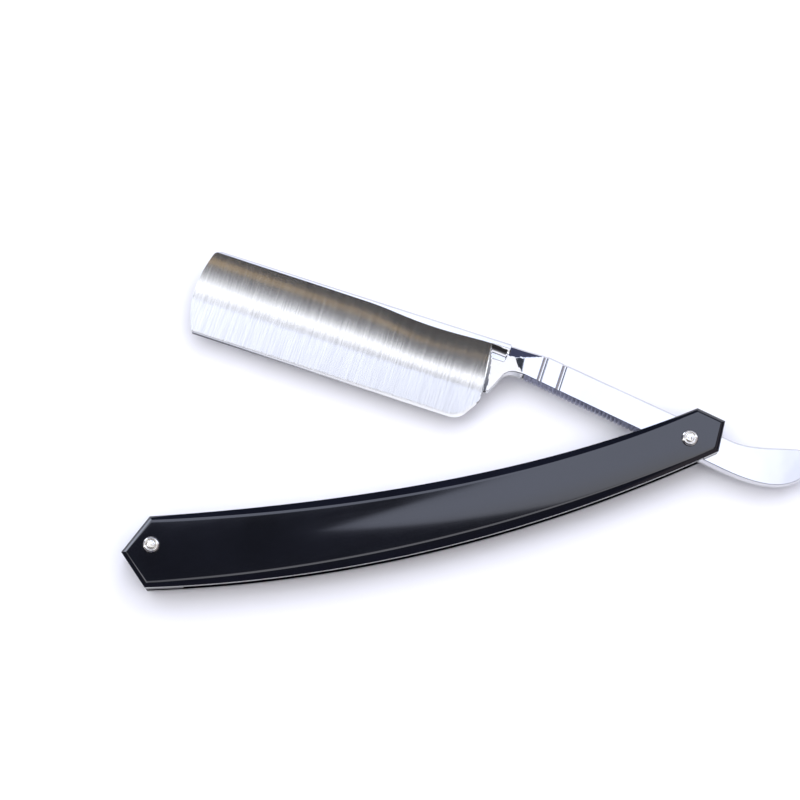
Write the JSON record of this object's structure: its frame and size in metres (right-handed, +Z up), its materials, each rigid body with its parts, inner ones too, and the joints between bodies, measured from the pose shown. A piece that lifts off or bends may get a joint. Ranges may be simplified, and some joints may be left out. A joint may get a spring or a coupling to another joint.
{
  "type": "straight razor",
  "caption": "Folding straight razor: a hollow-ground blade with a notched tang and curled tail turns on a pin between curved, bevelled handle scales.",
  "frame": {"origin": "centre of the flat foot of the lower pivot pin head, on the pivot axis, in the plane that the razor rests on", "axes": "+X along the handle from the wedge pin to the pivot pin and on towards the tail, +Y the side on which the blade opens, +Z up through the front scale"},
  "size_m": [0.1744, 0.0866, 0.012],
  "materials": {
    "blade_steel": "carbon steel, satin in the hollow, mirror polished on the spine, shank, tang and tail",
    "black_scale": "polished black acrylic with a blue cast",
    "black_spacer": "black acrylic, satin at its sawn ends",
    "nickel_silver": "polished nickel silver, lightly hammered on the pin heads",
    "washer_brass": "turned brass"
  },
  "bodies": {
    "handle": {"front_scale": "black_scale", "rear_scale": "black_scale", "wedge_spacer": "black_spacer", "pivot_pin": "nickel_silver", "wedge_pin": "nickel_silver", "pivot_front_collar": "nickel_silver", "pivot_rear_collar": "nickel_silver", "wedge_front_collar": "nickel_silver", "wedge_rear_collar": "nickel_silver", "front_thrust_washer": "washer_brass", "rear_thrust_washer": "washer_brass"},
    "blade": {"blade": "blade_steel"}
  },
  "joints": [
    {"name": "blade_pivot", "type": "hinge", "parent": "handle", "child": "blade", "pos_m": [0, 0, 0.006], "axis": [0, 0, -1], "range_deg": [-28.5, 290]}
  ]
}
